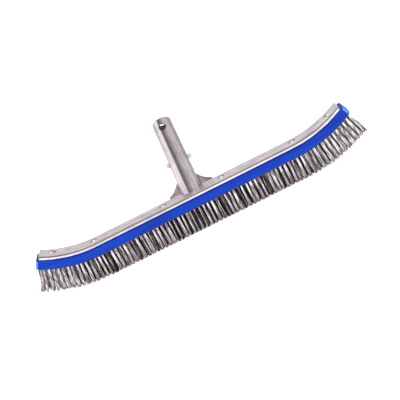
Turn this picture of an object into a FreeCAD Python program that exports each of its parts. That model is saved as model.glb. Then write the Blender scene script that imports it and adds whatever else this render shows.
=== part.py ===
import FreeCAD, Part
import math
import os
from FreeCAD import Placement, Rotation, Vector

# A pool wall brush: an aluminium back casting with a hollow handle, a plastic bristle block that
# curves up at both ends, five rows of tufts with their wire anchors, six screws and a spring clip.
# Millimetres. X runs along the brush, the handle leans towards +Y, and Z = 0 is the brushing face
# that the bristle tips make along the straight middle of the brush.

# ---- line of the brush -------------------------------------------------------------------------
STRAIGHT_HALF = 141.0      # half length of the straight middle, along the underside of the block
BEND_RADIUS = 181.0        # radius of the upward bend at each end, at the underside of the block
BLOCK_HALF = 231.8         # half length of the block, measured along its underside
RAIL_SHORTER = 4.0         # how far the rail stops short of each end of the block

# ---- bristles ----------------------------------------------------------------------------------
BRISTLE_LENGTH = 31.5      # free length of the tufts along the straight middle
END_TUFTS_LONGER = 2.0     # extra free length of the last tufts
TUFT_FAN = 0.7             # how much of the block's own turn the tufts follow at the ends
TUFT_PITCH = 6.15
ROW_PITCH = 6.2
ROWS = 5
HOLE_RADIUS = 2.25
HOLE_DEPTH = 8.0
TUFT_ROOT_RADIUS = 2.1
TUFT_TIP_RADIUS = 2.9
TUFT_END_GAP = 0.2         # between the folded end of a tuft and the bottom of its hole
END_MARGINS = (4.0, 4.0, 4.0, 4.0, 8.0)    # from each row's last tuft to the block's end, at least
ANCHOR_LENGTH = 5.4
ANCHOR_HEIGHT = 1.6
ANCHOR_THICK = 0.5

# ---- block -------------------------------------------------------------------------------------
BLOCK_DEPTH = 34.6
BLOCK_HEIGHT = 12.5
BLOCK_CORNER_FRONT = 4.5   # rounding of the upright corners
BLOCK_CORNER_REAR = 8.0
BLOCK_EDGE = 1.0           # rounding of the long outer edges
TONGUE_HEIGHT = 3.0        # rib on top of the block that fills the hollow underside of the rail
TONGUE_GAP = 0.3

# ---- rail --------------------------------------------------------------------------------------
RAIL_HEIGHT = 5.7
RAIL_REAR = 12.3           # Y of the rear face
RAIL_NOSE = -16.5          # Y of the foremost line of the rounded front lip
LIP_FOOT = -15.9
LIP_HEIGHT = 4.4
GROOVE_FRONT = -15.4
GROOVE_BOTTOM = -15.0
GROOVE_BACK = -14.7
GROOVE_DEPTH = 0.7
RAIL_EDGE = 0.7            # rounding of the long top edges
RAIL_WALL = 2.3
RAIL_PLATE = 2.5           # thickness of the top plate over the hollow underside
RAIL_CORNER_FRONT = 2.5
RAIL_CORNER_REAR = 1.5
SHADOW_GAP = 0.7           # the front of the rail is relieved by this much above the block
SHADOW_GAP_BACK = -14.8

# ---- handle ------------------------------------------------------------------------------------
LEAN = 40.0                # degrees the handle leans back from upright
HANDLE_Y = 15.3            # where the handle's axis meets the top of the rail
HANDLE_LENGTH = 106.8      # from there to the mouth, along the axis
HANDLE_SIDES = 12
MOUTH_FLAT = 13.4          # from the axis to a flat, at the mouth
FOOT_FLAT = 14.3           # from the axis to a flat, at the top of the rail
FACET_ROUND = 1.0
MOUTH_EDGE = 1.2           # bevel around the mouth
HOLLOW_RADIUS = 10.8
HOLLOW_DEPTH = 90.0
BOLT_HOLE_RADIUS = 5.2
BOLT_HOLE_DOWN = 14.3      # below the mouth
PIN_DOWN = 63.9            # below the mouth
WEB_THICK = 4.4
WEB_FOOT = 31.5            # half width of the two webs at the top of the rail
WEB_WAIST = (22.9, 4.9)    # a point of the concave web edge: half width, height along the handle
WEB_HEIGHT = 15.2

# ---- spring clip -------------------------------------------------------------------------------
CLIP_TOP_DOWN = 21.0       # top of the bend, below the mouth
CLIP_THICK = 2.4
CLIP_WIDTH = 7.0
BEND_MEAN = 6.0            # radius of the bend at the middle of its thickness
ARM_X_AT_PIN = 8.5
ARM_TAIL = 5.5             # arm past the pin
KNUCKLE_CLEAR = 0.06
PIN_RADIUS = 3.1
PIN_NECK_RADIUS = 2.8      # where the pin passes through the handle's wall
PIN_NECK_OUT = 0.26        # how far the neck reaches past the outside of the wall
PIN_STANDS_OUT = 5.0
PIN_TIP_ROUND = 1.4
PIN_HOLE_RADIUS = 3.8
PIN_HOLE_LOWER = 0.62      # the pin tips downwards as it is pressed in, so its hole sits lower

# ---- screws ------------------------------------------------------------------------------------
SCREW_STATIONS = {"inner": 42.7, "middle": 145.7, "end": 208.6}
SCREW_Y = -1.0
RECESS_RADIUS = 4.8
RECESS_DEPTH = 1.2
HEAD_RADIUS = 3.9
HEAD_RIM = 0.7
HEAD_HEIGHT = 2.3
END_HEAD_SHIFT = 0.8       # the two end screws sit off centre in their recesses, outwards
CLEAR_HOLE_RADIUS = 2.9
SHANK_RADIUS = 1.9
PILOT_RADIUS = 1.6
SHANK_LENGTH = 8.4
DRIVE_LENGTH = 4.4
DRIVE_WIDTH = 1.0
DRIVE_DEPTH = 1.4

BLOCK_BOTTOM = BRISTLE_LENGTH
BLOCK_TOP = BLOCK_BOTTOM + BLOCK_HEIGHT
RAIL_TOP = BLOCK_TOP + RAIL_HEIGHT
BEND_CENTRE_Z = BLOCK_BOTTOM + BEND_RADIUS
RAIL_HALF = BLOCK_HALF - RAIL_SHORTER
RIGHT = 1
LEFT = -1
EAST = Vector(1, 0, 0)
NORTH = Vector(0, 1, 0)
UP = Vector(0, 0, 1)
FAR = 400.0                # larger than the object, for cutting tools


def bend_angle(station):
    """Degrees by which the brush has turned upwards at this distance along its underside."""
    return math.degrees(max(abs(station) - STRAIGHT_HALF, 0.0) / BEND_RADIUS)


def place_on_bar(station):
    """Moves a shape drawn at X = 0 to a distance along the brush's line."""
    side = RIGHT if station >= 0 else LEFT
    slide = Placement(Vector(side * min(abs(station), STRAIGHT_HALF), 0, 0), Rotation())
    hub = Vector(side * STRAIGHT_HALF, 0, BEND_CENTRE_Z)
    turn = Placement(Vector(), Rotation(NORTH, -side * bend_angle(station)), hub)
    return turn.multiply(slide)


def placed(shape, placement):
    """A copy of a shape, moved by a placement."""
    moved = shape.copy()
    moved.Placement = placement.multiply(moved.Placement)
    return moved


def swept(section, half_length):
    """Sweeps a section in the YZ plane along the straight middle and both upward bends."""
    middle = section.copy()
    middle.translate(EAST * -STRAIGHT_HALF)
    solid = middle.extrude(EAST * 2 * STRAIGHT_HALF)
    for side in (LEFT, RIGHT):
        end = section.copy()
        end.translate(EAST * side * STRAIGHT_HALF)
        hub = Vector(side * STRAIGHT_HALF, 0, BEND_CENTRE_Z)
        solid = solid.fuse(end.revolve(hub, NORTH * -side, bend_angle(half_length)))
    return solid.removeSplitter().Solids[0]


def corner(y, z):
    return Vector(0, y, z)


def polygon_face(corners):
    return Part.Face(Part.makePolygon(corners + corners[:1]))


def rectangle(y_low, y_high, z_low, z_high):
    low_edge = [corner(y_low, z_low), corner(y_high, z_low)]
    return polygon_face(low_edge + [corner(y_high, z_high), corner(y_low, z_high)])


def end_uprights(block, y):
    """The upright edges at both ends of the block, on its front or its rear face."""
    chosen = []
    for edge in block.Edges:
        ends = [vertex.Point for vertex in edge.Vertexes]
        on_face = all(abs(point.y - y) < 1e-3 for point in ends)
        if len(ends) == 2 and on_face and abs(edge.Length - BLOCK_HEIGHT) < 0.1:
            chosen.append(edge)
    return chosen


def long_edges(solid, y, z):
    """The edges that run all along a bar at this place of its section."""
    chosen = []
    for edge in solid.Edges:
        middle = edge.valueAt((edge.FirstParameter + edge.LastParameter) / 2)
        hub_gap = math.hypot(abs(middle.x) - STRAIGHT_HALF, BEND_CENTRE_Z - middle.z)
        height = middle.z if abs(middle.x) <= STRAIGHT_HALF else BEND_CENTRE_Z - hub_gap
        if abs(middle.y - y) < 1e-3 and abs(height - z) < 1e-3 and edge.Length > BLOCK_DEPTH * 2:
            chosen.append(edge)
    return chosen


# ---- tufts, anchors and the block ----------------------------------------------------------------
def row_y(row):
    return (row - (ROWS - 1) / 2) * ROW_PITCH


def row_stations(row):
    """Distances of a row's tufts along the underside; every second row is half a pitch over."""
    offset = 0.5 * (row % 2)
    count = int((BLOCK_HALF - END_MARGINS[row]) / TUFT_PITCH - offset)
    first = -count - offset
    return [(first + step) * TUFT_PITCH for step in range(2 * count + (2 if offset else 1))]


def upright_cylinder(radius, z_low, z_high, y=0.0):
    return Part.makeCylinder(radius, z_high - z_low, Vector(0, y, z_low), UP)


def place_tuft(station):
    """As place_on_bar, but turned back at the block's underside so that the tufts fan out less."""
    side = RIGHT if station >= 0 else LEFT
    turned_back = side * (1 - TUFT_FAN) * bend_angle(station)
    pivot = Placement(Vector(), Rotation(NORTH, turned_back), Vector(0, 0, BLOCK_BOTTOM))
    return place_on_bar(station).multiply(pivot)


def make_tuft(y, station):
    """One tuft: a round root in its hole that opens a little towards the trimmed tips."""
    root_top = BLOCK_BOTTOM + HOLE_DEPTH - TUFT_END_GAP
    tip = -END_TUFTS_LONGER * (bend_angle(station) / bend_angle(BLOCK_HALF)) ** 2
    profile = [
        Vector(0, 0, tip),
        Vector(TUFT_TIP_RADIUS, 0, tip),
        Vector(TUFT_ROOT_RADIUS, 0, BLOCK_BOTTOM),
        Vector(TUFT_ROOT_RADIUS, 0, root_top),
        Vector(0, 0, root_top),
    ]
    tuft = polygon_face(profile).revolve(Vector(), UP, 360)
    tuft.translate(NORTH * y)
    return tuft


def make_anchor(y, station):
    """The flat wire that holds a tuft's fold; its ends bite into the sides of the hole."""
    low = BLOCK_BOTTOM + HOLE_DEPTH - TUFT_END_GAP - ANCHOR_HEIGHT
    start = Vector(-ANCHOR_LENGTH / 2, y - ANCHOR_THICK / 2, low)
    return Part.makeBox(ANCHOR_LENGTH, ANCHOR_THICK, ANCHOR_HEIGHT, start)


def make_row(row, make_piece):
    y = row_y(row)
    return Part.makeCompound([placed(make_piece(y, at), place_tuft(at)) for at in row_stations(row)])


def screw_stations():
    return {
        f"{place}_{name}": side * distance
        for place, distance in SCREW_STATIONS.items()
        for name, side in (("left", LEFT), ("right", RIGHT))
    }


def make_block():
    half = BLOCK_DEPTH / 2
    block = swept(rectangle(-half, half, BLOCK_BOTTOM, BLOCK_TOP), BLOCK_HALF)
    for y, radius in ((-half, BLOCK_CORNER_FRONT), (half, BLOCK_CORNER_REAR)):
        block = block.makeFillet(radius, end_uprights(block, y))
    rims = []
    for y in (-half, half):
        for z in (BLOCK_BOTTOM, BLOCK_TOP):
            rims += long_edges(block, y, z)
    block = block.makeFillet(BLOCK_EDGE, rims)
    front = pocket_front() + TONGUE_GAP
    rear = pocket_rear() - TONGUE_GAP
    tongue = rectangle(front, rear, BLOCK_TOP - 1, BLOCK_TOP + TONGUE_HEIGHT)
    block = block.fuse(swept(tongue, RAIL_HALF - RAIL_WALL - TONGUE_GAP)).removeSplitter()
    tools = []
    for row in range(ROWS):
        hole = upright_cylinder(HOLE_RADIUS, BLOCK_BOTTOM - 1, BLOCK_BOTTOM + HOLE_DEPTH, row_y(row))
        tools += [placed(hole, place_tuft(at)) for at in row_stations(row)]
    pilot = upright_cylinder(PILOT_RADIUS, shank_bottom() - 0.5, RAIL_TOP, SCREW_Y)
    tools += [placed(pilot, place_on_bar(head_station(at))) for at in screw_stations().values()]
    return block.cut(tools).Solids[0]


# ---- screws --------------------------------------------------------------------------------------
def head_station(station):
    """Where a screw goes in: the end screws are a little further out than their recesses."""
    shift = END_HEAD_SHIFT if abs(station) == SCREW_STATIONS["end"] else 0.0
    return math.copysign(abs(station) + shift, station)


def head_seat():
    return RAIL_TOP - RECESS_DEPTH


def shank_bottom():
    return head_seat() - SHANK_LENGTH


def make_screw():
    """A pan-head screw with a cross recess, upright at X = 0."""
    seat = head_seat()
    rim = seat + HEAD_RIM
    top = seat + HEAD_HEIGHT
    rise = HEAD_HEIGHT - HEAD_RIM
    dome_radius = (HEAD_RADIUS ** 2 + rise ** 2) / (2 * rise)
    half_turn = math.asin(HEAD_RADIUS / dome_radius) / 2
    dome_centre = top - dome_radius
    dome_side = Vector(dome_radius * math.sin(half_turn), 0, dome_centre + dome_radius * math.cos(half_turn))
    tip = shank_bottom()
    rounded = Part.Arc(Vector(HEAD_RADIUS, 0, rim), dome_side, Vector(0, 0, top)).toShape()
    straight = Part.makePolygon([
        Vector(0, 0, top),
        Vector(0, 0, tip),
        Vector(SHANK_RADIUS - 1, 0, tip),
        Vector(SHANK_RADIUS, 0, tip + 1),
        Vector(SHANK_RADIUS, 0, seat),
        Vector(HEAD_RADIUS, 0, seat),
        Vector(HEAD_RADIUS, 0, rim),
    ])
    screw = Part.Face(Part.Wire([rounded] + straight.Edges)).revolve(Vector(), UP, 360)
    for angle in (45, 135):
        slot = Part.makeBox(DRIVE_LENGTH, DRIVE_WIDTH, DRIVE_DEPTH + 1)
        slot.translate(Vector(-DRIVE_LENGTH / 2, -DRIVE_WIDTH / 2, top - DRIVE_DEPTH))
        slot.rotate(Vector(), UP, angle)
        screw = screw.cut(slot)
    screw.translate(NORTH * SCREW_Y)
    return screw


# ---- back casting --------------------------------------------------------------------------------
def pocket_front():
    return GROOVE_BACK + 1.1


def pocket_rear():
    return RAIL_REAR - RAIL_WALL


def rail_section():
    """Section of the rail: rounded front lip, groove, flat top and upright rear face."""
    lip_top = BLOCK_TOP + LIP_HEIGHT
    groove = lip_top - GROOVE_DEPTH
    corner_step = RAIL_EDGE * (1 - math.sqrt(0.5))
    front_arc = [
        corner(GROOVE_BACK, RAIL_TOP - RAIL_EDGE),
        corner(GROOVE_BACK + corner_step, RAIL_TOP - corner_step),
        corner(GROOVE_BACK + RAIL_EDGE, RAIL_TOP),
    ]
    rear_arc = [
        corner(RAIL_REAR - RAIL_EDGE, RAIL_TOP),
        corner(RAIL_REAR - corner_step, RAIL_TOP - corner_step),
        corner(RAIL_REAR, RAIL_TOP - RAIL_EDGE),
    ]
    lip_foot = BLOCK_TOP + SHADOW_GAP
    lip_arc = [
        corner(LIP_FOOT, lip_foot),
        corner(RAIL_NOSE, (lip_foot + lip_top) / 2),
        corner(GROOVE_FRONT, lip_top),
    ]
    groove_floor = [corner(GROOVE_FRONT, lip_top), corner(GROOVE_BOTTOM, groove)]
    groove_rise = [corner(GROOVE_BOTTOM, groove), front_arc[0]]
    top = [front_arc[2], rear_arc[0]]
    rear = [rear_arc[2], corner(RAIL_REAR, BLOCK_TOP)]
    underside = [corner(RAIL_REAR, BLOCK_TOP), corner(SHADOW_GAP_BACK, BLOCK_TOP)]
    gap_back = [corner(SHADOW_GAP_BACK, BLOCK_TOP), corner(SHADOW_GAP_BACK, lip_foot)]
    gap_roof = [corner(SHADOW_GAP_BACK, lip_foot), corner(LIP_FOOT, lip_foot)]
    edges = [Part.Arc(*points).toShape() for points in (lip_arc, front_arc, rear_arc)]
    lines = (groove_floor, groove_rise, top, rear, underside, gap_back, gap_roof)
    edges += [Part.makeLine(*points) for points in lines]
    return Part.Face(Part.Wire(Part.__sortEdges__(edges)))


def corner_cutter(side, y, radius):
    """What is cut away to round an upright corner of the rail, drawn at the rail's end."""
    inwards = -1 if y > 0 else 1
    low = BLOCK_TOP - 1
    height = RAIL_HEIGHT + 2
    start = Vector(-radius * side, y + inwards * radius, low)
    square = Part.makeBox(2 * radius, 2 * radius, height, start + Vector(-radius, -radius, 0))
    square.translate(Vector(side * radius, -inwards * radius, 0))
    return square.cut(Part.makeCylinder(radius, height, start, UP))


def handle_placement():
    """From the handle's own frame (Z along its axis from the top of the rail) to the brush's."""
    return Placement(Vector(0, HANDLE_Y, RAIL_TOP), Rotation(EAST, -LEAN))


def flat_distance(height):
    """From the handle's axis to a flat, at a height along the axis."""
    return FOOT_FLAT + (MOUTH_FLAT - FOOT_FLAT) * height / HANDLE_LENGTH


def twelve_sided_wire(height):
    """The handle's outline at a height: flats face the front and both sides."""
    reach = flat_distance(height) / math.cos(math.pi / HANDLE_SIDES)
    turns = [(side + 0.5) * 2 * math.pi / HANDLE_SIDES for side in range(HANDLE_SIDES)]
    corners = [Vector(reach * math.sin(turn), -reach * math.cos(turn), height) for turn in turns]
    return Part.makePolygon(corners + corners[:1])


def handle_blank():
    """The solid tapering twelve-sided bar, in the handle's frame, with softened corners."""
    foot = -2 * FOOT_FLAT
    bar = Part.makeLoft([twelve_sided_wire(foot), twelve_sided_wire(HANDLE_LENGTH)], True, True)
    lengthwise = [edge for edge in bar.Edges if edge.Length > HANDLE_LENGTH]
    bar = bar.makeFillet(FACET_ROUND, lengthwise)
    rim_radius = MOUTH_FLAT - MOUTH_EDGE
    height = HANDLE_LENGTH - foot
    bevel = Part.makeCone(rim_radius + height, rim_radius, height, Vector(0, 0, foot))
    return bar.common(bevel)


def web_blank():
    """The two webs beside the handle's foot as one plate, in the handle's frame."""
    foot = -FOOT_FLAT
    left = [Vector(-WEB_FOOT, 0, 0), Vector(-WEB_WAIST[0], 0, WEB_WAIST[1])]
    left.append(Vector(-flat_distance(WEB_HEIGHT), 0, WEB_HEIGHT))
    right = [Vector(-point.x, 0, point.z) for point in left]
    outline = Part.makePolygon([right[0], Vector(WEB_FOOT, 0, foot), Vector(-WEB_FOOT, 0, foot), left[0]])
    edges = [Part.Arc(*left).toShape(), Part.Arc(*right).toShape()]
    edges += [Part.makeLine(left[2], right[2])] + outline.Edges
    plate = Part.Face(Part.Wire(Part.__sortEdges__(edges)))
    plate.translate(NORTH * -WEB_THICK / 2)
    return plate.extrude(NORTH * WEB_THICK)


def across_cylinder(radius, direction, height):
    """A cylinder through the handle's axis, across it, in the handle's frame."""
    start = Vector(0, 0, height) - direction * 2 * FOOT_FLAT
    return Part.makeCylinder(radius, 4 * FOOT_FLAT, start, direction)


def make_back():
    rail = swept(rail_section(), RAIL_HALF)
    for side in (LEFT, RIGHT):
        for y, radius in ((RAIL_NOSE, RAIL_CORNER_FRONT), (RAIL_REAR, RAIL_CORNER_REAR)):
            cutter = corner_cutter(side, y, radius)
            rail = rail.cut(placed(cutter, place_on_bar(side * RAIL_HALF)))
    pocket_top = RAIL_TOP - RAIL_PLATE
    pocket = rectangle(pocket_front(), pocket_rear(), BLOCK_TOP - 1, pocket_top)
    rail = rail.cut(swept(pocket, RAIL_HALF - RAIL_WALL))

    frame = handle_placement()
    grip = handle_blank().fuse(web_blank())
    grip = placed(grip, frame)
    below = Part.makeBox(FAR, FAR, FAR, Vector(-FAR / 2, -FAR / 2, BLOCK_TOP - FAR))
    tongue_space = placed(Part.makeBox(FAR, pocket_rear() - pocket_front(), RAIL_HEIGHT - RAIL_PLATE), Placement(
        Vector(-FAR / 2, pocket_front(), BLOCK_TOP), Rotation()))
    back = rail.fuse(grip.cut([below, tongue_space]))

    hollow = Part.makeCylinder(HOLLOW_RADIUS, HOLLOW_DEPTH, Vector(0, 0, HANDLE_LENGTH), -UP)
    bolt_hole = across_cylinder(BOLT_HOLE_RADIUS, NORTH, HANDLE_LENGTH - BOLT_HOLE_DOWN)
    pin_height = HANDLE_LENGTH - PIN_DOWN - PIN_HOLE_LOWER
    pin_holes = across_cylinder(PIN_HOLE_RADIUS, EAST, pin_height)
    tools = [placed(tool, frame) for tool in (hollow, bolt_hole, pin_holes)]
    recess = upright_cylinder(RECESS_RADIUS, head_seat(), RAIL_TOP + 2, SCREW_Y)
    clear_hole = upright_cylinder(CLEAR_HOLE_RADIUS, BLOCK_TOP, RAIL_TOP, SCREW_Y)
    for station in screw_stations().values():
        tools.append(placed(recess, place_on_bar(station)))
        tools.append(placed(clear_hole, place_on_bar(head_station(station))))
    return back.cut(tools).removeSplitter().Solids[0]


# ---- spring clip, in the handle's frame ------------------------------------------------------------
def clip_hinge_height():
    return HANDLE_LENGTH - CLIP_TOP_DOWN - BEND_MEAN - CLIP_THICK / 2


def clip_strip(corners):
    """A flat piece of the clip from its outline in the XZ plane."""
    face = polygon_face([Vector(x, -CLIP_WIDTH / 2, z) for x, z in corners])
    return face.extrude(NORTH * CLIP_WIDTH)


def clip_knuckle(side, radius):
    start = Vector(side * BEND_MEAN, -CLIP_WIDTH / 2, clip_hinge_height())
    return Part.makeCylinder(radius, CLIP_WIDTH, start, NORTH)


def make_clip_bend():
    hub = Vector(0, -CLIP_WIDTH / 2, clip_hinge_height())
    outer = Part.makeCylinder(BEND_MEAN + CLIP_THICK / 2, CLIP_WIDTH, hub, NORTH)
    inner = Part.makeCylinder(BEND_MEAN - CLIP_THICK / 2, CLIP_WIDTH, hub, NORTH)
    lower = Part.makeBox(FAR, FAR, FAR, Vector(-FAR / 2, -FAR / 2, clip_hinge_height() - FAR))
    sockets = [clip_knuckle(side, CLIP_THICK / 2 + KNUCKLE_CLEAR) for side in (LEFT, RIGHT)]
    return outer.cut([inner, lower] + sockets).Solids[0]


def make_clip_arm(side):
    """One arm: a knuckle at the bend, the flat spring and the pin near its end."""
    hinge_z = clip_hinge_height()
    pin_z = HANDLE_LENGTH - PIN_DOWN
    run = Vector(ARM_X_AT_PIN - BEND_MEAN, 0, pin_z - hinge_z)
    along = Vector(run)
    along.normalize()
    across = Vector(-along.z, 0, along.x) * (CLIP_THICK / 2)
    start = Vector(BEND_MEAN, 0, hinge_z)
    end = start + run + along * ARM_TAIL
    corners = [start + across, start - across, end - across, end + across]
    arm = clip_strip([(side * point.x, point.z) for point in corners])
    wall = flat_distance(pin_z)
    neck_end = wall + PIN_NECK_OUT
    pin_end = wall + PIN_STANDS_OUT
    neck = Part.makeCylinder(
        PIN_NECK_RADIUS, neck_end - ARM_X_AT_PIN, Vector(side * ARM_X_AT_PIN, 0, pin_z), EAST * side)
    pin = Part.makeCylinder(PIN_RADIUS, pin_end - neck_end, Vector(side * neck_end, 0, pin_z), EAST * side)
    tip = [edge for edge in pin.Edges if abs(abs(edge.BoundBox.Center.x) - pin_end) < 0.01]
    pin = pin.makeFillet(PIN_TIP_ROUND, [edge for edge in tip if edge.Closed and edge.Length > PIN_RADIUS])
    return arm.fuse([clip_knuckle(side, CLIP_THICK / 2), neck, pin]).removeSplitter().Solids[0]


# ---- everything --------------------------------------------------------------------------------
def make_parts():
    parts = {"back_casting": make_back(), "bristle_block": make_block()}
    screw = make_screw()
    for name, station in screw_stations().items():
        parts[f"screw_{name}"] = placed(screw, place_on_bar(head_station(station)))
    for row in range(ROWS):
        parts[f"tufts_row_{row + 1}"] = make_row(row, make_tuft)
        parts[f"anchors_row_{row + 1}"] = make_row(row, make_anchor)
    frame = handle_placement()
    parts["clip_bend"] = placed(make_clip_bend(), frame)
    parts["clip_arm_left"] = placed(make_clip_arm(LEFT), frame)
    parts["clip_arm_right"] = placed(make_clip_arm(RIGHT), frame)
    return parts


os.makedirs("parts", exist_ok=True)
for name, shape in make_parts().items():
    shape.exportStep(f"parts/{name}.step")
    print(name, len(shape.Solids), round(shape.Volume), shape.isValid())
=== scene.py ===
import math

import bpy
import numpy as np
from mathutils import Matrix, Vector


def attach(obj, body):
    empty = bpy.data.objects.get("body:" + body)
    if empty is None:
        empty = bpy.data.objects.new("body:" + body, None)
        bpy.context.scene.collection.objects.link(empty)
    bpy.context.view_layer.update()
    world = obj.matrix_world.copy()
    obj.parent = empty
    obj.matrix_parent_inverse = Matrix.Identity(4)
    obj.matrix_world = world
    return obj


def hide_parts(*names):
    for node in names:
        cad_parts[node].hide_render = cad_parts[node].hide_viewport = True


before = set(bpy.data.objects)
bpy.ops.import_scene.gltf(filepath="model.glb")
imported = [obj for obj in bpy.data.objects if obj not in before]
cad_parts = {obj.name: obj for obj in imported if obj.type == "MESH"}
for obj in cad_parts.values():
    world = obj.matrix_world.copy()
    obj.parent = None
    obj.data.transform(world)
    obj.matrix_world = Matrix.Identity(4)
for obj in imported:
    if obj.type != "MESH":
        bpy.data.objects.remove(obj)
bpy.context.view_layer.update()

MM = 0.001
FULL_TURN = 2 * math.pi
BODY = "brush"
GRAIN = np.random.default_rng(7)
BLOCK_BOTTOM = 31.5 * MM       # free length of the tufts below the straight middle of the block
LEAN = math.radians(40)        # the handle leans this far back from upright


# ---- camera --------------------------------------------------------------------------------------
CAMERA_DISTANCE = 1.40
CAMERA_AZIMUTH = math.radians(5.27)
CAMERA_ELEVATION = math.radians(17.48)
CAMERA_ROLL = math.radians(28.13)
CAMERA_LENS = 96.2             # mm
CAMERA_NEAR = 10 * MM
AIM_RIGHT = 4.3 * MM
AIM_UP = 2.2 * MM


def make_camera():
    """The front seen from a little above, rolled so that the brush runs up to the right."""
    flat = math.cos(CAMERA_ELEVATION)
    back = Vector((
        math.sin(CAMERA_AZIMUTH) * flat,
        -math.cos(CAMERA_AZIMUTH) * flat,
        math.sin(CAMERA_ELEVATION),
    ))
    right = Vector((math.cos(CAMERA_AZIMUTH), math.sin(CAMERA_AZIMUTH), 0))
    up = back.cross(right)
    aim = Vector((0, 0, BLOCK_BOTTOM)) + right * AIM_RIGHT + up * AIM_UP
    tilt = Matrix.Rotation(-CAMERA_ROLL, 3, back)
    data = bpy.data.cameras.new("camera")
    data.lens = CAMERA_LENS
    data.clip_start = CAMERA_NEAR
    camera = bpy.data.objects.new("camera", data)
    bpy.context.scene.collection.objects.link(camera)
    axes = Matrix((tilt @ right, tilt @ up, back)).transposed()
    camera.matrix_world = Matrix.Translation(aim + back * CAMERA_DISTANCE) @ axes.to_4x4()
    bpy.context.scene.camera = camera


# ---- floor ---------------------------------------------------------------------------------------
FLOOR_HALF = 20.0
FLOOR_DROP = 0.3 * MM          # the floor lies this far under the bristle tips
FLOOR_WHITE = (0.93, 0.93, 0.93, 1)
FLOOR_GLOW = 0.75              # its own light, which leaves hardly any shadow


def make_floor():
    """A plain white floor, wide enough to fill the picture."""
    mesh = bpy.data.meshes.new("floor")
    corners = [(FLOOR_HALF * x, FLOOR_HALF * y, 0) for x, y in ((-1, -1), (1, -1), (1, 1), (-1, 1))]
    mesh.from_pydata(corners, [], [(0, 1, 2, 3)])
    floor = bpy.data.objects.new("floor", mesh)
    bpy.context.scene.collection.objects.link(floor)
    floor.location.z = -FLOOR_DROP
    pale = bpy.data.materials.new("pale_floor")
    pale.use_nodes = True
    surface = pale.node_tree.nodes["Principled BSDF"]
    surface.inputs["Base Color"].default_value = FLOOR_WHITE
    surface.inputs["Roughness"].default_value = 0.9
    surface.inputs["Specular IOR Level"].default_value = 0.1
    surface.inputs["Emission Color"].default_value = (1, 1, 1, 1)
    surface.inputs["Emission Strength"].default_value = FLOOR_GLOW
    mesh.materials.append(pale)


# ---- light ---------------------------------------------------------------------------------------
ROOM_LIGHT = 0.30              # from every direction
# Each softbox: its direction, the half angles of its core and its faded edge in degrees, its strength.
SOFTBOXES = [
    ((-0.85, -0.10, 0.55), 15, 50, 1.12),
    ((0.00, 0.28, 0.96), 6, 33, 0.95),
    ((0.85, -0.10, 0.55), 10, 45, 0.60),
    ((0.00, 1.00, 0.15), 15, 60, 0.65),
    ((0.00, -1.00, 0.10), 20, 52, 1.65),
]
LAMP_PLACE = Vector((0.1, 0.5, 1.6))
LAMP_AIM = Vector((0, 0, 0.05))
LAMP_SIZE = 1.2
LAMP_POWER = 4


def softbox(tree, where, direction, core, edge, strength):
    """The light that one soft round patch of the world gives in each direction."""
    nearness = tree.nodes.new("ShaderNodeVectorMath")
    nearness.operation = "DOT_PRODUCT"
    nearness.inputs[1].default_value = Vector(direction).normalized()
    tree.links.new(where, nearness.inputs[0])
    fade = tree.nodes.new("ShaderNodeMapRange")
    fade.interpolation_type = "SMOOTHSTEP"
    fade.inputs["From Min"].default_value = math.cos(math.radians(edge))
    fade.inputs["From Max"].default_value = math.cos(math.radians(core))
    fade.inputs["To Max"].default_value = strength
    tree.links.new(nearness.outputs["Value"], fade.inputs["Value"])
    return fade.outputs["Result"]


def make_world():
    """Even room light with softboxes in it for the metal to reflect."""
    world = bpy.data.worlds.new("studio")
    bpy.context.scene.world = world
    world.use_nodes = True
    tree = world.node_tree
    where = tree.nodes.new("ShaderNodeTexCoord").outputs["Generated"]
    total = tree.nodes.new("ShaderNodeValue").outputs["Value"]
    total.default_value = ROOM_LIGHT
    for box in SOFTBOXES:
        added = tree.nodes.new("ShaderNodeMath")
        tree.links.new(softbox(tree, where, *box), added.inputs[0])
        tree.links.new(total, added.inputs[1])
        total = added.outputs["Value"]
    sky = tree.nodes["Background"]
    sky.inputs["Color"].default_value = (1, 1, 1, 1)
    tree.links.new(total, sky.inputs["Strength"])


def make_lamp():
    """One broad lamp above and behind the brush."""
    data = bpy.data.lights.new("top_softbox", "AREA")
    data.shape = "SQUARE"
    data.size = LAMP_SIZE
    data.energy = LAMP_POWER
    lamp = bpy.data.objects.new("top_softbox", data)
    bpy.context.scene.collection.objects.link(lamp)
    lamp.location = LAMP_PLACE
    lamp.rotation_euler = (LAMP_AIM - LAMP_PLACE).to_track_quat("-Z", "Y").to_euler()


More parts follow.
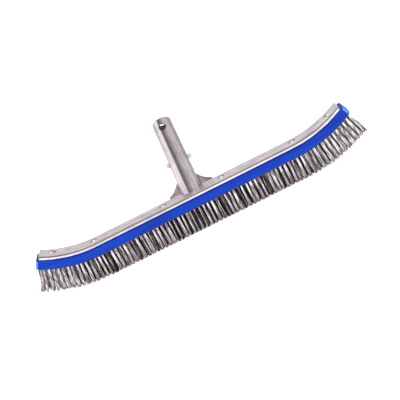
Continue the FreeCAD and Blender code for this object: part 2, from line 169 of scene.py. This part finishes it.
# ---- materials -----------------------------------------------------------------------------------
class Finish:
    """A node material: the Principled shader and short ways to add what feeds it."""

    def __init__(self, name, colour, roughness, metallic=0.0):
        self.material = bpy.data.materials.new(name)
        self.material.use_nodes = True
        self.tree = self.material.node_tree
        self.shader = self.tree.nodes["Principled BSDF"]
        self.set("Base Color", (*colour, 1))
        self.set("Roughness", roughness)
        self.set("Metallic", metallic)

    def set(self, socket, value):
        """One value for a socket of the shader."""
        self.shader.inputs[socket].default_value = value

    def into(self, socket, out):
        """An output that feeds a socket of the shader."""
        self.link(out, self.shader.inputs[socket])

    def node(self, kind, **values):
        made = self.tree.nodes.new(kind)
        for key, value in values.items():
            setattr(made, key, value)
        return made

    def link(self, out, into):
        self.tree.links.new(out, into)

    def feed(self, socket, value):
        """Links an output to a socket, or sets the socket to a number or a colour."""
        if isinstance(value, tuple):
            socket.default_value = (*value, 1)
        elif isinstance(value, (int, float)):
            socket.default_value = value
        else:
            self.link(value, socket)

    def place(self, stretch=(1, 1, 1), turn=(0, 0, 0)):
        """Object coordinates, turned and then stretched along the turned axes."""
        where = self.node("ShaderNodeTexCoord").outputs["Object"]
        rotate = self.node("ShaderNodeMapping")
        rotate.inputs["Rotation"].default_value = turn
        self.link(where, rotate.inputs["Vector"])
        scale = self.node("ShaderNodeMapping")
        scale.inputs["Scale"].default_value = stretch
        self.link(rotate.outputs["Vector"], scale.inputs["Vector"])
        return scale.outputs["Vector"]

    def split(self, vector):
        """The X, Y and Z of a vector."""
        parts = self.node("ShaderNodeSeparateXYZ")
        self.link(vector, parts.inputs["Vector"])
        return parts.outputs["X"], parts.outputs["Y"], parts.outputs["Z"]

    def facing(self):
        """X, Y and Z of the surface's own direction."""
        return self.split(self.node("ShaderNodeTexCoord").outputs["Normal"])

    def noise(self, place, scale, detail):
        made = self.node("ShaderNodeTexNoise")
        made.inputs["Scale"].default_value = scale
        made.inputs["Detail"].default_value = detail
        self.link(place, made.inputs["Vector"])
        return made.outputs["Fac"]

    def spread(self, value, low, high, out_low=0.0, out_high=1.0):
        """Maps low..high to out_low..out_high and holds the ends."""
        made = self.node("ShaderNodeMapRange")
        made.inputs["From Min"].default_value = low
        made.inputs["From Max"].default_value = high
        made.inputs["To Min"].default_value = out_low
        made.inputs["To Max"].default_value = out_high
        self.link(value, made.inputs["Value"])
        return made.outputs["Result"]

    def math(self, operation, first, second=0):
        made = self.node("ShaderNodeMath", operation=operation)
        self.feed(made.inputs[0], first)
        self.feed(made.inputs[1], second)
        return made.outputs["Value"]

    def times(self, first, *others):
        """The product of outputs and numbers."""
        for other in others:
            first = self.math("MULTIPLY", first, other)
        return first

    def below(self, value, limit):
        """1 where the value is below the limit, 0 elsewhere."""
        return self.math("LESS_THAN", value, limit)

    def above(self, value, limit):
        """1 where the value is above the limit, 0 elsewhere."""
        return self.math("GREATER_THAN", value, limit)

    def choose(self, share, first, second):
        """A mix of two outputs that carry numbers."""
        made = self.node("ShaderNodeMix", data_type="FLOAT")
        self.link(share, made.inputs["Factor"])
        self.link(first, made.inputs[2])
        self.link(second, made.inputs[3])
        return made.outputs[0]

    def mix(self, share, first, second):
        """A colour mix; first and second are colours or outputs."""
        made = self.node("ShaderNodeMix", data_type="RGBA")
        self.link(share, made.inputs["Factor"])
        self.feed(made.inputs[6], first)
        self.feed(made.inputs[7], second)
        return made.outputs[2]

    def bump(self, height, strength, distance, under=None):
        made = self.node("ShaderNodeBump")
        made.inputs["Strength"].default_value = strength
        made.inputs["Distance"].default_value = distance
        self.link(height, made.inputs["Height"])
        if under is not None:
            self.link(under, made.inputs["Normal"])
        return made.outputs["Normal"]

    def crevice_shade(self, reach):
        """A mask for painted shade: 0 on open surfaces, up to 1 deep in slots, recesses and corners."""
        made = self.node("ShaderNodeAmbientOcclusion", samples=6)
        made.inputs["Distance"].default_value = reach
        return self.spread(made.outputs["AO"], 0.35, 0.85, 1.0, 0.0)


# ---- cast aluminium ------------------------------------------------------------------------------
# "Turned" coordinates lean back with the handle: Y across it from front to back, Z up along it.
RAIL_TOP = 50.0 * MM           # just over the top of the rail's straight middle
WEB_REACH = 35.0 * MM          # above that, only the rail's raised ends are this far from the middle
HANDLE_HALF = 16.5 * MM        # a little more than half the handle's width
HANDLE_FRONT = -31.5 * MM      # turned Y, just behind the handle's front flat
HANDLE_MIDDLE = -20.2 * MM     # turned Y of the handle's axis
BORE_RADIUS = 11.1 * MM        # just over the bore's own radius
BORE_BOTTOM = 63.0 * MM        # turned Z, just under the lower end of the handle's bore
RIM_DIRT_AND_SHADE = (152.6 * MM, 153.8 * MM)      # turned Z where the dirt and painted shade around the mouth begin and are full
DARK_BAND_LEFT = (-4.7 * MM, -4.2 * MM)      # X where the painted dark reflection down the handle begins and is full
DARK_BAND_RIGHT = (-1.2 * MM, 1.6 * MM)      # X where it starts to fade and is gone
GROOVE_LINE = -15.05 * MM                # Y of a painted shadow line along the rail's front groove
GROOVE_BAND = (0.45 * MM, 0.75 * MM)     # from that line, where the painted shadow starts to fade and is gone
LIP_BACK = -15.45 * MM         # the painted highlight on top of the rail's front lip is in front of this Y
DRAWN_OUT = 0.02               # noise is stretched fifty times along the drawn marks
MARKS = (1400, 2)              # noise scale and detail of the fine drawn marks
BANDS = (420, 3)               # noise scale and detail of the broader bands between them
METAL_SHADE_REACH = 3.5 * MM


def front_dark_reflection(finish, x, across, bands):
    """A painted dark reflection over the left edge of the handle's front flat; its right side is
    ragged.
    """
    fade = finish.math(
        "ADD", finish.spread(x, *DARK_BAND_RIGHT, 1.0, 0.0), finish.spread(bands, 0.4, 0.6, -0.2, 0.2))
    dark_band = finish.times(finish.spread(x, *DARK_BAND_LEFT), finish.spread(fade, 0.1, 0.9))
    return finish.times(finish.below(across, HANDLE_FRONT), dark_band)


def groove_painted_shadow(finish, y):
    """A painted shadow line along the rail's front groove."""
    off_line = finish.math("ABSOLUTE", finish.math("SUBTRACT", y, GROOVE_LINE))
    return finish.spread(off_line, *GROOVE_BAND, 1.0, 0.0)


def lip_painted_highlight(finish, y):
    """The upper side of the lip in front of the groove, painted lighter as a highlight."""
    upward = finish.facing()[2]
    return finish.times(finish.below(y, LIP_BACK), finish.spread(upward, 0.25, 0.55))


def inside_bore(finish, x, across, up_handle):
    """The wall and the bottom of the handle's bore."""
    off_axis = finish.math("SUBTRACT", across, HANDLE_MIDDLE)
    squares = finish.math("ADD", finish.times(x, x), finish.times(off_axis, off_axis))
    radius = finish.math("SQRT", squares)
    return finish.times(finish.below(radius, BORE_RADIUS), finish.above(up_handle, BORE_BOTTOM))


def cast_aluminium():
    """Satin die casting: fine grain, marks drawn along the rail and the handle, dirt with painted shade
    at the mouth, and painted light: a highlight on the lip, a dark reflection on the handle, shade in
    the groove, the crevices and the bore.
    """
    finish = Finish("cast_aluminium", (0.60, 0.585, 0.595), 0.30, 1.0)
    here = finish.place()
    x, y, z = finish.split(here)
    across, up_handle = finish.split(finish.place(turn=(LEAN, 0, 0)))[1:]
    off_middle = finish.math("ABSOLUTE", x)
    on_handle = finish.times(finish.below(off_middle, HANDLE_HALF), finish.above(z, RAIL_TOP))
    on_rail = finish.math("MAXIMUM", finish.below(z, RAIL_TOP), finish.above(off_middle, WEB_REACH))

    along_rail = finish.place(stretch=(DRAWN_OUT, 1, 1))
    along_handle = finish.place(stretch=(1, 1, DRAWN_OUT), turn=(LEAN, 0, 0))
    marks, bands = [
        finish.choose(on_handle, finish.noise(along_rail, *kind), finish.noise(along_handle, *kind))
        for kind in (MARKS, BANDS)
    ]
    clouds = finish.noise(here, 60, 4)
    grain = finish.noise(here, 2600, 2)

    bore = inside_bore(finish, x, across, up_handle)
    rim = finish.times(finish.spread(up_handle, *RIM_DIRT_AND_SHADE), finish.spread(bands, 0.42, 0.55))
    # Each layer: where it lies, how strong it is, its colour. Later layers lie over earlier ones.
    layers = [
        # painted highlight along the top of the rail's front lip
        (finish.times(lip_painted_highlight(finish, y), on_rail), 0.35, (0.95, 0.90, 0.95)),
        # painted dark reflection on the handle's front flat
        (finish.times(front_dark_reflection(finish, x, across, bands), on_handle), 0.74, (0.17, 0.130, 0.138)),
        # dirt together with painted shade and dark reflection around the mouth
        (rim, 0.80, (0.06, 0.045, 0.05)),
        # painted shadow along the rail's front groove
        (finish.times(groove_painted_shadow(finish, y), on_rail), 0.92, (0.14, 0.120, 0.125)),
        # painted shade: the casting darkened in its slots, recesses and corners
        (finish.crevice_shade(METAL_SHADE_REACH), 0.95, (0.05, 0.045, 0.045)),
        # painted shade: the inside of the bore darkened
        (bore, 0.85, (0.055, 0.048, 0.052)),
    ]
    cloudy = finish.spread(clouds, 0.35, 0.7, 0.0, 0.5)
    tone = finish.math("ADD", cloudy, finish.spread(bands, 0.42, 0.58, 0.0, 0.55))
    colour = finish.mix(tone, (0.42, 0.372, 0.390), (0.73, 0.665, 0.690))
    for mask, strength, tint in layers:
        colour = finish.mix(finish.times(mask, strength), colour, tint)
    finish.into("Base Color", colour)

    marked = finish.spread(marks, 0.3, 0.7, 0.24, 0.36)
    rough = finish.math("ADD", marked, finish.spread(clouds, 0.3, 0.7, -0.03, 0.05))
    finish.into("Roughness", finish.math("ADD", rough, finish.times(bore, 0.3)))
    drawn = finish.bump(marks, 0.25, 0.12 * MM)
    finish.into("Normal", finish.bump(grain, 0.25, 0.10 * MM, drawn))
    return finish.material


# ---- plastics and steel --------------------------------------------------------------------------
BLOCK_SHADE_REACH = 6.0 * MM
STEEL_SHADE_REACH = 1.5 * MM


def front_corner_highlight(finish):
    """The block's rounded upright corners at the front, which turn away to the side, painted lighter as
    a highlight.
    """
    east, north, upward = finish.facing()
    sideways = finish.spread(finish.math("ABSOLUTE", east), 0.18, 0.40)
    upright = finish.below(finish.math("ABSOLUTE", upward), 0.7)
    return finish.times(sideways, upright, finish.spread(north, -0.35, -0.15, 1.0, 0.0))


def blue_plastic():
    """Satin moulded polypropylene: faint flow marks, painted highlights on the edges and the front
    corners, painted shade in the crevices.
    """
    finish = Finish("blue_plastic", (0.004, 0.055, 0.53), 0.45)
    finish.set("Specular IOR Level", 0.12)
    flow = finish.noise(finish.place(stretch=(0.15, 1, 1)), 90, 4)
    grain = finish.noise(finish.place(), 1500, 3)
    edge = finish.node("ShaderNodeNewGeometry").outputs["Pointiness"]
    # painted highlight: lighter on sharp convex edges
    edge_highlight = finish.spread(edge, 0.52, 0.62, 0.0, 0.30)
    body = finish.mix(finish.spread(flow, 0.35, 0.7), (0.001, 0.027, 0.31), (0.002, 0.048, 0.45))
    body = finish.mix(edge_highlight, body, (0.05, 0.19, 0.80))
    # painted highlight on the rounded front corners
    body = finish.mix(front_corner_highlight(finish), body, (0.09, 0.29, 0.76))
    # painted shade: the block darkened near the rail and in its corners
    finish.into("Base Color", finish.mix(finish.crevice_shade(BLOCK_SHADE_REACH), body, (0.0, 0.004, 0.06)))
    finish.into("Roughness", finish.spread(flow, 0.3, 0.7, 0.36, 0.50))
    finish.into("Normal", finish.bump(grain, 0.12, 0.10 * MM))
    return finish.material


def bright_steel(name, colour):
    """Lightly clouded bare steel, with painted shade in its recesses."""
    finish = Finish(name, colour, 0.25, 1.0)
    here = finish.place()
    clouds = finish.noise(here, 500, 3)
    dull = tuple(0.75 * part for part in colour)
    base = finish.mix(finish.spread(clouds, 0.3, 0.75), colour, dull)
    # painted shade in the steel's recesses
    finish.into("Base Color", finish.mix(finish.crevice_shade(STEEL_SHADE_REACH), base, (0.02, 0.018, 0.018)))
    finish.into("Roughness", finish.spread(clouds, 0.3, 0.7, 0.16, 0.30))
    finish.into("Normal", finish.bump(finish.noise(here, 3000, 2), 0.1, 0.05 * MM))
    return finish.material


def natural_nylon():
    """Uncoloured nylon: slightly cloudy and a little translucent."""
    finish = Finish("natural_nylon", (0.66, 0.64, 0.60), 0.42)
    finish.set("Subsurface Weight", 0.15)
    finish.set("Subsurface Radius", (2.0 * MM, 1.8 * MM, 1.5 * MM))
    here = finish.place()
    cloudy = finish.spread(finish.noise(here, 300, 3), 0.3, 0.7)
    finish.into("Base Color", finish.mix(cloudy, (0.58, 0.56, 0.52), (0.72, 0.70, 0.66)))
    finish.into("Normal", finish.bump(finish.noise(here, 2500, 2), 0.1, 0.05 * MM))
    return finish.material


def filament(name, dark, light, metallic, roughness):
    """Crimped filaments: each clump has its own tone, and they grow darker towards the tips."""
    finish = Finish(name, light, roughness, metallic)
    tone = finish.noise(finish.place(stretch=(1, 1, 0.15)), 420, 2)
    tip_darkening = finish.node("ShaderNodeAttribute", attribute_name="tip_darkening").outputs["Fac"]
    share = finish.times(finish.spread(tone, 0.43, 0.57), finish.spread(tip_darkening, 0.30, 1.0, 1.0, 0.18))
    finish.into("Base Color", finish.mix(share, dark, light))
    return finish.material


def filament_materials():
    """Materials of the outer rows, which catch the light, and darker copies of them for the rows
    between, whose darkness is painted shade.
    """
    return {
        "outer": {
            "nylon": filament("outer_nylon", (0.29, 0.225, 0.237), (1.0, 0.97, 0.98), 0.0, 0.35),
            "steel": filament("outer_steel", (0.008, 0.005, 0.006), (0.075, 0.044, 0.052), 0.6, 0.45),
        },
        "inner": {
            "nylon": filament("inner_nylon_painted_shade", (0.08, 0.058, 0.06), (0.62, 0.57, 0.58), 0.0, 0.45),
            "steel": filament("inner_steel_painted_shade", (0.004, 0.0025, 0.003), (0.03, 0.019, 0.022), 0.6, 0.50),
        },
    }


# ---- bristles ------------------------------------------------------------------------------------
ROWS = 5
PULL_IN = 3.0 * MM             # filaments start this far up their hole
HOLE_GRIP = 7.8 * MM           # how much of a tuft sits in its hole
ROOT_SPREAD = 1.45 * MM        # radius of a tuft where it starts
TIP_SPREAD = 2.35 * MM         # radius of a tuft at its tip
FLARE = 1.5                    # above 1, a tuft opens late
END_SPLAY = 0.10               # how much wider the last tufts open
FILAMENTS = 44                 # in one tuft
NYLON_SHARE = (0.68, 0.15, 0.10, 0.15, 0.60)    # of each row, along the middle of the brush; low in the inner rows, where dark steel stands in for their shade
END_SHARE = 0.95               # more nylon towards the ends
SHARE_CHANGE = 0.08            # how much the nylon share changes from tuft to tuft
LEAST_SHARE = 0.05             # every tuft has at least this much of either kind
RAGGED = 0.30                  # how far nylon and steel mix where they meet in a tuft
FILAMENT_RADIUS = {"nylon": 0.27 * MM, "steel": 0.22 * MM}
CLUMPS = 5                     # in one tuft
CLUMP_LEAN = 0.45 * MM         # how far whole clumps lean at the tip
SINGLE_LEAN = 0.30 * MM        # how far single filaments lean beside that
UNEVEN = 0.08                  # of the even pattern's radius
SIDES = 4                      # of a filament
SEGMENTS = 6                   # along a filament
MOST_LEAN = 0.34               # sideways part of the last tufts' direction
CRIMP = 0.28 * MM              # how far the crimp swings to each side
CRIMP_WAVE = 6.5 * MM          # length of one wave
CRIMP_START = 4                # the crimp is full a quarter of the way down
TRIM = 0.9 * MM                # how unevenly the tips are cut
END_TRIM = 3                   # how much more unevenly the last tufts are cut
END_LESS_DARK = 0.8                # how much less the last tufts darken towards their tips
DECIMALS = 6                   # of a metre; points that agree to these are the same point
TIP_RING = 0.5 * MM            # points this close to a tuft's end belong to its tip


def loose_parts(mesh):
    """The points of each separate solid in a mesh, whose faces may have points of their own."""
    points = np.zeros(len(mesh.vertices) * 3)
    mesh.vertices.foreach_get("co", points)
    points = points.reshape(-1, 3)
    keys = {}
    owner = np.array([keys.setdefault(tuple(np.round(point, DECIMALS)), len(keys)) for point in points])
    group = np.arange(len(keys))

    def head(item):
        while group[item] != item:
            group[item] = group[group[item]]
            item = group[item]
        return item

    for face in mesh.polygons:
        corners = [head(owner[vertex]) for vertex in face.vertices]
        for corner in corners[1:]:
            group[head(corner)] = head(corners[0])
    parts = {}
    for index, point in zip(owner, points):
        parts.setdefault(head(index), []).append(point)
    return [np.unique(np.round(np.array(part), DECIMALS), axis=0) for part in parts.values()]


def tuft_lines(node):
    """The tip, the direction to the root and the free length of every tuft, from its CAD solid."""
    lines = []
    for cloud in loose_parts(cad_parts[node].data):
        middle = cloud.mean(0)
        axis = np.linalg.svd(cloud - middle, full_matrices=False)[2][0]
        axis = axis if axis[2] > 0 else -axis
        reach = (cloud - middle) @ axis
        tip_ring = cloud[reach < reach.min() + TIP_RING]
        lines.append((tip_ring.mean(0), axis, reach.max() - reach.min() - HOLE_GRIP))
    return sorted(lines, key=lambda line: line[0][0])


def end_nearness(axis):
    """From 0 for an upright tuft in the middle to 1 for the last tufts, which lean the most."""
    return min(abs(axis[0]) / MOST_LEAN, 1)


def disc_points(count):
    """Evenly scattered points of a unit disc, a little disturbed."""
    step = np.arange(count) + 0.5
    golden_angle = math.pi * (3 - math.sqrt(5))
    radius = np.sqrt(step / count) * (1 - UNEVEN * GRAIN.random(count))
    turn = step * golden_angle + GRAIN.random() * FULL_TURN
    return np.stack([radius * np.cos(turn), radius * np.sin(turn)], 1)


def tuft_filaments(axis, share):
    """Roots and leans of one tuft's filaments; nylon and steel lie in clumps beside each other."""
    nearness = end_nearness(axis)
    spots = disc_points(FILAMENTS)
    turn = GRAIN.random() * FULL_TURN
    angle = (np.arctan2(spots[:, 1], spots[:, 0]) + turn) % FULL_TURN
    clump = (angle / FULL_TURN * CLUMPS).astype(int)
    leans = GRAIN.normal(0, CLUMP_LEAN, (CLUMPS, 2))[clump] + GRAIN.normal(0, SINGLE_LEAN, spots.shape)
    leans *= 1 + nearness
    rank = spots @ (math.cos(turn), math.sin(turn)) + GRAIN.normal(0, RAGGED, len(spots))
    share = share + END_SHARE * nearness + GRAIN.normal(0, SHARE_CHANGE)
    share = np.clip(share, LEAST_SHARE, 1 - LEAST_SHARE)
    nylon = np.zeros(len(spots), bool)
    nylon[np.argsort(rank)[: int(round(share * len(spots)))]] = True
    return {"nylon": (spots[nylon], leans[nylon]), "steel": (spots[~nylon], leans[~nylon])}


def filament_rings(line, at_root, lean, radius):
    """Ring points of one crimped filament, from its hole to its trimmed tip."""
    tip, axis, free = line
    nearness = end_nearness(axis)
    side = np.cross(axis, (0, 1, 0))
    side /= np.linalg.norm(side)
    depth = np.cross(side, axis)
    at_tip = at_root * TIP_SPREAD * (1 + END_SPLAY * nearness) + lean
    start = free + PULL_IN
    end = GRAIN.random() ** 2 * TRIM * (1 + END_TRIM * nearness)
    along = np.linspace(0, 1, SEGMENTS + 1)
    flare = along[:, None] ** FLARE
    offset = at_root * ROOT_SPREAD * (1 - flare) + at_tip * flare
    heights = start + (end - start) * along
    phase = GRAIN.random() * FULL_TURN
    wave = CRIMP * np.sin(heights / CRIMP_WAVE * FULL_TURN + phase) * np.minimum(along * CRIMP_START, 1)
    swing = GRAIN.random() * math.pi
    offset[:, 0] += wave * math.cos(swing)
    offset[:, 1] += wave * math.sin(swing)
    centres = tip + heights[:, None] * axis + offset[:, :1] * side + offset[:, 1:] * depth
    angles = np.arange(SIDES) / SIDES * FULL_TURN + phase
    ring = (np.cos(angles)[:, None] * side + np.sin(angles)[:, None] * depth) * radius
    return (centres[:, None] + ring[None]).reshape(-1, 3)


def filament_faces():
    """Faces of one filament: its sides and its cut tip."""
    faces = []
    for level in range(SEGMENTS):
        low = level * SIDES
        for side in range(SIDES):
            after = (side + 1) % SIDES
            faces.append((low + side, low + SIDES + side, low + SIDES + after, low + after))
    last = SEGMENTS * SIDES
    faces.append(tuple(last + side for side in range(SIDES)))
    return np.array(faces)


def add_tip_darkening(mesh, most):
    """How much darker each point is: nothing at the root and each filament's own most at its tip."""
    tip_darkening = mesh.attributes.new("tip_darkening", "FLOAT", "POINT")
    along = np.repeat(np.linspace(0, 1, SEGMENTS + 1), SIDES)
    tip_darkening.data.foreach_set("value", np.outer(most, along).ravel())


def make_bristles(row, kind, lines, tufts, material):
    """All filaments of one kind in one row as a single mesh."""
    rings = []
    most = []
    for line, tuft in zip(lines, tufts):
        for at_root, lean in zip(*tuft[kind]):
            rings.append(filament_rings(line, at_root, lean, FILAMENT_RADIUS[kind]))
            most.append(1 - END_LESS_DARK * end_nearness(line[1]))
    pattern = filament_faces()
    faces = np.concatenate([pattern + count * (SEGMENTS + 1) * SIDES for count in range(len(rings))])
    mesh = bpy.data.meshes.new(f"bristles_{kind}_row_{row}")
    mesh.from_pydata(np.concatenate(rings).tolist(), [], faces.tolist())
    mesh.polygons.foreach_set("use_smooth", [True] * len(mesh.polygons))
    add_tip_darkening(mesh, most)
    mesh.materials.append(material)
    piece = bpy.data.objects.new(mesh.name, mesh)
    bpy.context.scene.collection.objects.link(piece)
    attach(piece, BODY)
    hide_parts(f"tufts_row_{row}")


def make_rows():
    """The filaments of every row, in place of its CAD tufts."""
    materials = filament_materials()
    for row in range(1, ROWS + 1):
        lines = tuft_lines(f"tufts_row_{row}")
        tufts = [tuft_filaments(line[1], NYLON_SHARE[row - 1]) for line in lines]
        # the inner rows take the darker copies: painted shade
        depth = "outer" if row in (1, ROWS) else "inner"
        for kind, material in materials[depth].items():
            make_bristles(row, kind, lines, tufts, material)


# ---- CAD nodes -----------------------------------------------------------------------------------
def dress(start, material):
    """Gives a material to every node whose name begins with start."""
    for name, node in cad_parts.items():
        if name.startswith(start):
            node.data.materials.clear()
            node.data.materials.append(material)


def dress_nodes():
    """Materials of the CAD nodes that are rendered as they are."""
    dress("back_casting", cast_aluminium())
    dress("bristle_block", blue_plastic())
    dress("screw", bright_steel("screw_steel", (0.74, 0.72, 0.73)))
    dress("anchors", bright_steel("anchor_wire", (0.62, 0.60, 0.58)))
    dress("clip", natural_nylon())


bpy.context.scene.view_settings.view_transform = "Standard"
make_camera()
make_floor()
make_world()
make_lamp()
dress_nodes()
make_rows()
